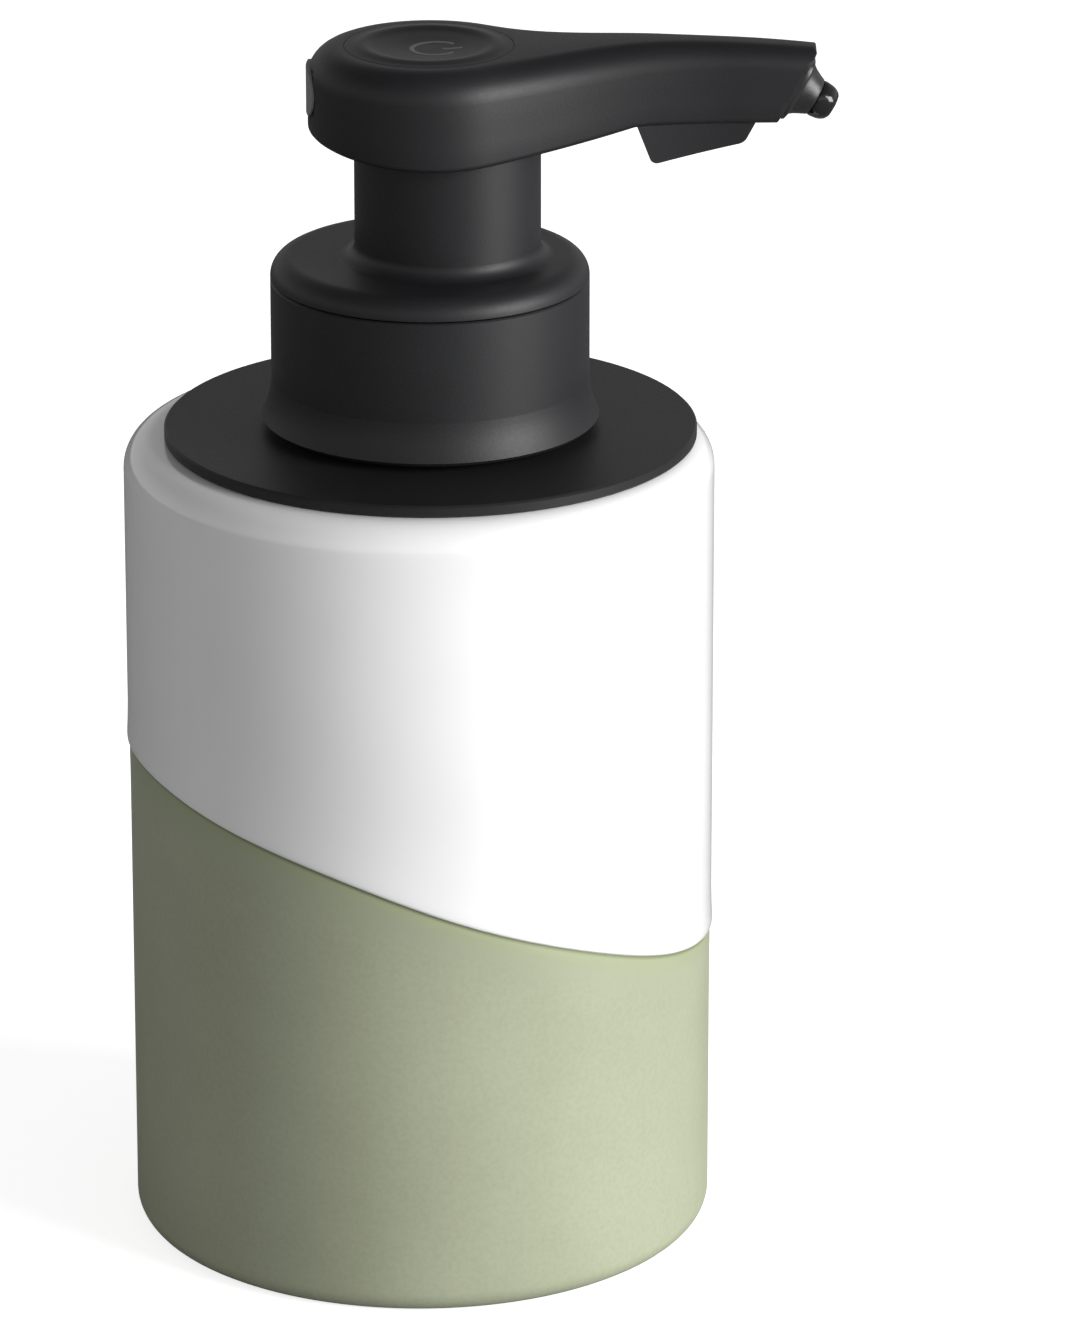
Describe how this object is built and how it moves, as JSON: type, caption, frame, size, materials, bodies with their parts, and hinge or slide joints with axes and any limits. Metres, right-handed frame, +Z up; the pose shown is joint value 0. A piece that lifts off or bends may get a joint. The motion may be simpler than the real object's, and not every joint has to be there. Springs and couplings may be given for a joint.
{
  "type": "touch-free soap dispenser",
  "caption": "Touch-free soap dispenser: round two-tone ceramic bottle, flat disc lid, screw collar, off-centre column and a teardrop spout head with a sensor wedge and gear pump.",
  "frame": {"origin": "centre of the bottle's foot ring, on the surface it stands on", "axes": "+Z up along the bottle's axis, +X along the spout, +Y to the left of the spout"},
  "size_m": [0.0918, 0.076, 0.1601],
  "materials": {
    "bottle_glaze": "glossy white glaze above, satin sage green glaze below",
    "clear_silicone": "translucent silicone",
    "black_plastic": "fine matte texture",
    "gloss_black": "polished",
    "grey_rubber": "soft matte",
    "black_rubber": "soft matte",
    "natural_plastic": "unpainted moulding",
    "gear_plastic": "acetal",
    "steel": "satin",
    "magnet": "sintered",
    "copper_winding": "enamelled wire",
    "brass": "plated",
    "clear_tube": "translucent",
    "board_green": "solder mask",
    "chip_black": "moulded epoxy",
    "lamp_white": "clear resin",
    "smoked_window": "smoked",
    "mark_grey": "satin grey inlay",
    "battery_foil": "foil pouch",
    "wire_red": "insulation",
    "ribbon": "flat cable"
  },
  "bodies": {
    "bottle": {"bottle_shell": "bottle_glaze"},
    "mouth_sleeve": {"mouth_sleeve": "clear_silicone"},
    "lid": {"mouth_disc": "black_plastic"},
    "pump_core": {"column_housing": "black_plastic", "chassis": "natural_plastic", "neck_gasket": "black_rubber", "pump_body": "natural_plastic", "cover_gasket": "black_rubber", "pump_cover": "natural_plastic", "idler_pin": "steel", "shaft_seal": "black_rubber", "motor_can": "steel", "motor_magnets": "magnet", "motor_end_cap": "natural_plastic", "motor_terminals": "brass", "suction_tube": "clear_tube", "inlet_strainer": "natural_plastic", "outlet_hose": "clear_silicone", "head_shell": "black_plastic", "head_base": "black_plastic", "ir_window": "smoked_window", "ir_emitter": "lamp_white", "ir_receiver": "chip_black", "sensor_board": "board_green", "sensor_ribbon": "ribbon", "main_board": "board_green", "board_chips": "chip_black", "status_led": "lamp_white", "tact_switch": "steel", "battery": "battery_foil", "motor_leads": "wire_red", "battery_leads": "wire_red", "usb_port": "steel", "nozzle_body": "black_plastic", "outlet_valve": "clear_silicone", "nozzle_tip": "gloss_black", "pump_cover_screws": "steel", "chassis_screws": "steel", "motor_screws": "steel", "head_screws": "steel"},
    "collar_ring": {"collar_ring": "black_plastic"},
    "rotor": {"motor_shaft": "steel", "motor_armature": "copper_winding", "drive_gear": "gear_plastic"},
    "idler": {"idler_gear": "gear_plastic"},
    "power_button": {"power_button": "black_plastic", "power_mark": "mark_grey"},
    "port_cover": {"port_cover": "grey_rubber"}
  },
  "joints": [
    {"name": "spout_swivel", "type": "hinge", "parent": "bottle", "child": "mouth_sleeve", "pos_m": [0.0015, 0, 0.103], "axis": [0, 0, 1], "continuous": true},
    {"name": "lid_lift", "type": "slide", "parent": "mouth_sleeve", "child": "lid", "axis": [0, 0, 1], "range_m": [0, 0.105]},
    {"name": "pump_rise", "type": "slide", "parent": "lid", "child": "pump_core", "axis": [0, 0, 1], "range_m": [0, 0.006]},
    {"name": "collar_turn", "type": "hinge", "parent": "pump_core", "child": "collar_ring", "pos_m": [0.0015, 0, 0.118], "axis": [0, 0, 1], "range_deg": [0, 720]},
    {"name": "motor_spin", "type": "hinge", "parent": "pump_core", "child": "rotor", "pos_m": [0.0015, 0, 0.125], "axis": [0, 0, 1], "continuous": true},
    {"name": "idler_spin", "type": "hinge", "parent": "pump_core", "child": "idler", "pos_m": [0.0015, -0.007, 0.118], "axis": [0, 0, 1], "continuous": true},
    {"name": "button_press", "type": "slide", "parent": "pump_core", "child": "power_button", "axis": [0, 0, -1], "range_m": [0, 0.0005], "stiffness_N_per_m": 1500, "springref_m": -0.0006},
    {"name": "port_cover_pull", "type": "slide", "parent": "pump_core", "child": "port_cover", "axis": [-1, 0, 0], "range_m": [0, 0.006]}
  ],
  "couplings": [
    {"joint": "pump_rise", "follows": "collar_turn", "m_per_rad": 0.0004774},
    {"joint": "idler_spin", "follows": "motor_spin", "ratio": -1}
  ]
}
